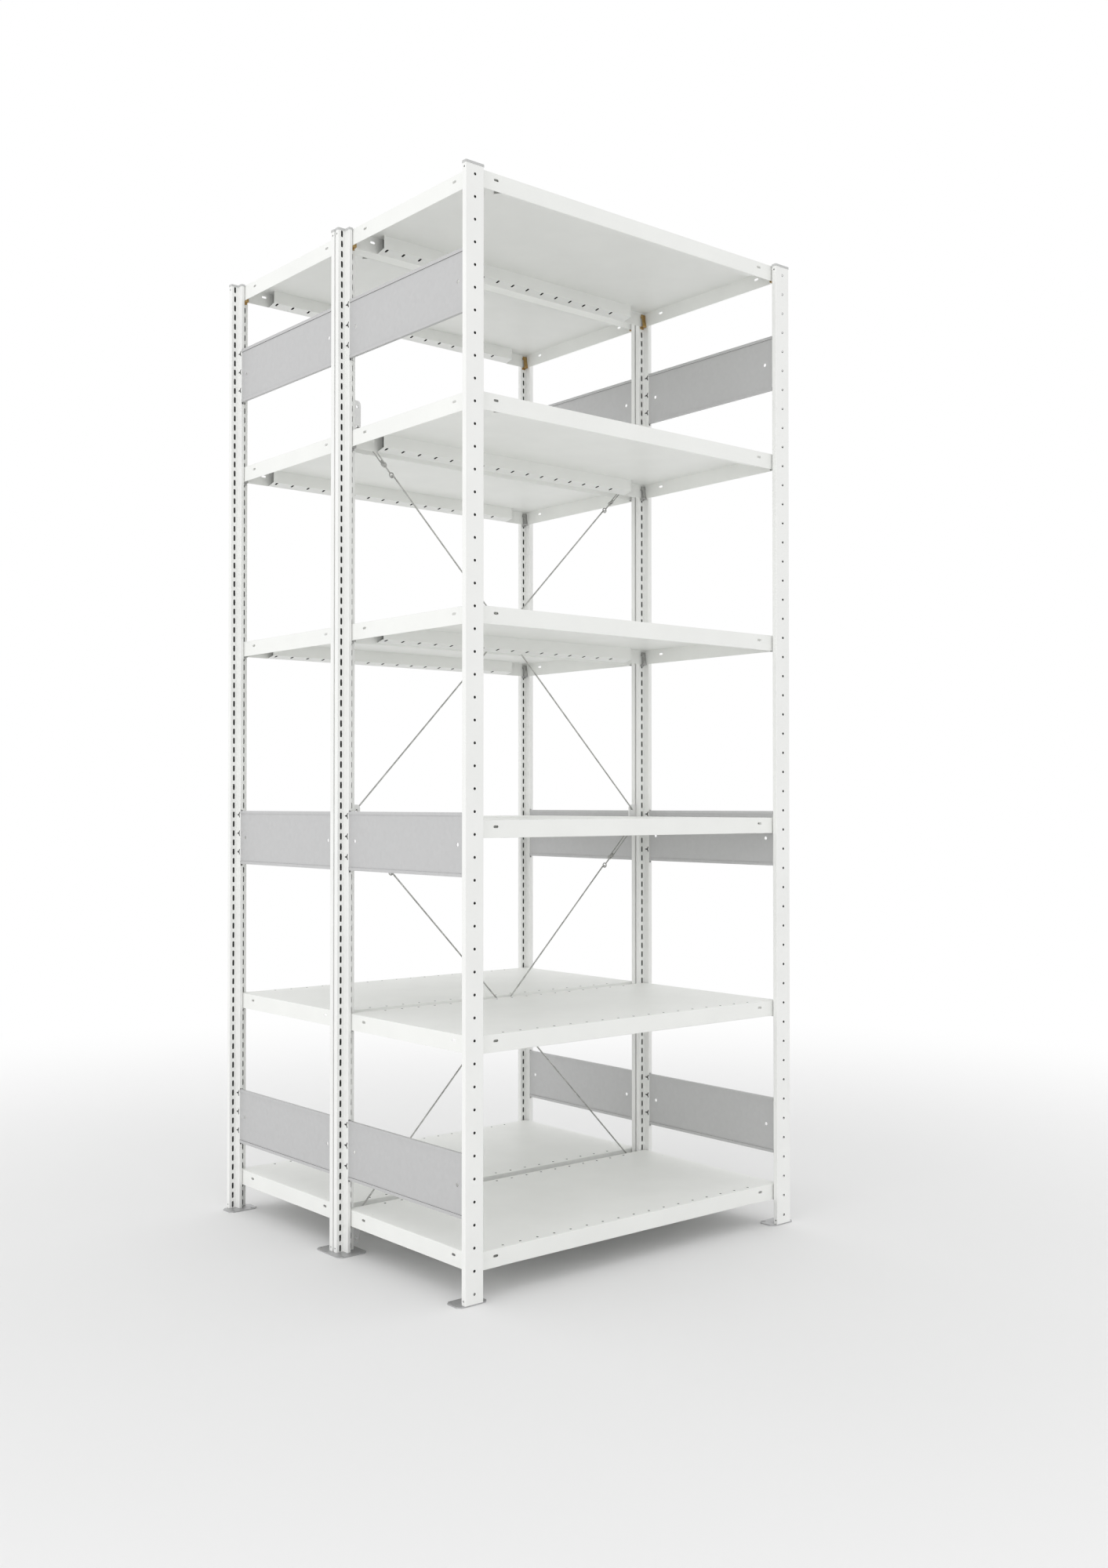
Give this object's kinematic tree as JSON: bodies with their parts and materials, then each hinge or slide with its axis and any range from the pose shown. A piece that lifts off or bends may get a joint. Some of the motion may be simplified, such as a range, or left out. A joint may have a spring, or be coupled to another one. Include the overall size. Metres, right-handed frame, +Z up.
{
  "type": "double-sided shelving unit",
  "caption": "Free-standing boltless steel shelving unit, two bays back to back on punched uprights, with lift-off tray shelves, end panels and wire cross bracing.",
  "frame": {"origin": "on the floor, at the middle of the unit's footprint", "axes": "+X along the shelves towards the right end, +Y from the front bay to the rear bay, +Z up"},
  "size_m": [1.0894, 1.0742, 2.502],
  "materials": {
    "white_powder_coat": "smooth satin powder coat",
    "shelf_powder_coat": "smooth satin powder coat, slightly greenish white",
    "galvanised_sheet": "dull galvanised sheet",
    "galvanised_plate": "galvanised plate",
    "zinc_wire": "zinc-plated wire",
    "zinc_link": "zinc-plated wire and nut",
    "zinc_bracket": "zinc-plated plate",
    "grey_plastic": "matt moulded plastic"
  },
  "bodies": {
    "frame": {"upright_front_left_outer": "white_powder_coat", "upright_front_right_outer": "white_powder_coat", "upright_front_left_inner": "white_powder_coat", "upright_front_right_inner": "white_powder_coat", "upright_rear_left_outer": "white_powder_coat", "upright_rear_right_outer": "white_powder_coat", "upright_rear_left_inner": "white_powder_coat", "upright_rear_right_inner": "white_powder_coat", "cap_front_left_outer": "grey_plastic", "cap_front_right_outer": "grey_plastic", "cap_front_left_inner": "grey_plastic", "cap_front_right_inner": "grey_plastic", "cap_rear_left_outer": "grey_plastic", "cap_rear_right_outer": "grey_plastic", "cap_rear_left_inner": "grey_plastic", "cap_rear_right_inner": "grey_plastic", "foot_plate_front_left": "galvanised_plate", "foot_plate_middle_left": "galvanised_plate", "foot_plate_rear_left": "galvanised_plate", "foot_plate_front_right": "galvanised_plate", "foot_plate_middle_right": "galvanised_plate", "foot_plate_rear_right": "galvanised_plate", "end_panel_front_left_1": "galvanised_sheet", "end_panel_front_left_2": "galvanised_sheet", "end_panel_front_left_3": "galvanised_sheet", "end_panel_front_right_1": "galvanised_sheet", "end_panel_front_right_2": "galvanised_sheet", "end_panel_front_right_3": "galvanised_sheet", "end_panel_rear_left_1": "galvanised_sheet", "end_panel_rear_left_2": "galvanised_sheet", "end_panel_rear_left_3": "galvanised_sheet", "end_panel_rear_right_1": "galvanised_sheet", "end_panel_rear_right_2": "galvanised_sheet", "end_panel_rear_right_3": "galvanised_sheet", "brace_bracket_left_1": "zinc_bracket", "brace_bracket_left_2": "zinc_bracket", "brace_bracket_left_3": "zinc_bracket", "brace_bracket_right_1": "zinc_bracket", "brace_bracket_right_2": "zinc_bracket", "brace_bracket_right_3": "zinc_bracket", "brace_rod_lower_falling": "zinc_wire", "brace_tensioner_lower_falling": "zinc_link", "brace_rod_lower_rising": "zinc_wire", "brace_tensioner_lower_rising": "zinc_link", "brace_rod_upper_falling": "zinc_wire", "brace_tensioner_upper_falling": "zinc_link", "brace_rod_upper_rising": "zinc_wire", "brace_tensioner_upper_rising": "zinc_link"},
    "shelf_front_1": {"shelf_front_1": "shelf_powder_coat"},
    "shelf_front_2": {"shelf_front_2": "shelf_powder_coat"},
    "shelf_front_3": {"shelf_front_3": "shelf_powder_coat"},
    "shelf_front_4": {"shelf_front_4": "shelf_powder_coat"},
    "shelf_front_5": {"shelf_front_5": "shelf_powder_coat"},
    "shelf_front_6": {"shelf_front_6": "shelf_powder_coat"},
    "shelf_rear_1": {"shelf_rear_1": "shelf_powder_coat"},
    "shelf_rear_2": {"shelf_rear_2": "shelf_powder_coat"},
    "shelf_rear_3": {"shelf_rear_3": "shelf_powder_coat"},
    "shelf_rear_4": {"shelf_rear_4": "shelf_powder_coat"},
    "shelf_rear_5": {"shelf_rear_5": "shelf_powder_coat"},
    "shelf_rear_6": {"shelf_rear_6": "shelf_powder_coat"}
  },
  "joints": [
    {"name": "lift_shelf_front_1", "type": "slide", "parent": "frame", "child": "shelf_front_1", "axis": [0, 0, 1], "range_m": [0, 0.428]},
    {"name": "lift_shelf_front_2", "type": "slide", "parent": "frame", "child": "shelf_front_2", "axis": [0, 0, 1], "range_m": [0, 0.428]},
    {"name": "lift_shelf_front_3", "type": "slide", "parent": "frame", "child": "shelf_front_3", "axis": [0, 0, 1], "range_m": [0, 0.428]},
    {"name": "lift_shelf_front_4", "type": "slide", "parent": "frame", "child": "shelf_front_4", "axis": [0, 0, 1], "range_m": [0, 0.428]},
    {"name": "lift_shelf_front_5", "type": "slide", "parent": "frame", "child": "shelf_front_5", "axis": [0, 0, 1], "range_m": [0, 0.447]},
    {"name": "lift_shelf_front_6", "type": "slide", "parent": "frame", "child": "shelf_front_6", "axis": [0, 0, 1], "range_m": [0, 0.045]},
    {"name": "lift_shelf_rear_1", "type": "slide", "parent": "frame", "child": "shelf_rear_1", "axis": [0, 0, 1], "range_m": [0, 0.428]},
    {"name": "lift_shelf_rear_2", "type": "slide", "parent": "frame", "child": "shelf_rear_2", "axis": [0, 0, 1], "range_m": [0, 0.428]},
    {"name": "lift_shelf_rear_3", "type": "slide", "parent": "frame", "child": "shelf_rear_3", "axis": [0, 0, 1], "range_m": [0, 0.428]},
    {"name": "lift_shelf_rear_4", "type": "slide", "parent": "frame", "child": "shelf_rear_4", "axis": [0, 0, 1], "range_m": [0, 0.428]},
    {"name": "lift_shelf_rear_5", "type": "slide", "parent": "frame", "child": "shelf_rear_5", "axis": [0, 0, 1], "range_m": [0, 0.447]},
    {"name": "lift_shelf_rear_6", "type": "slide", "parent": "frame", "child": "shelf_rear_6", "axis": [0, 0, 1], "range_m": [0, 0.045]}
  ]
}
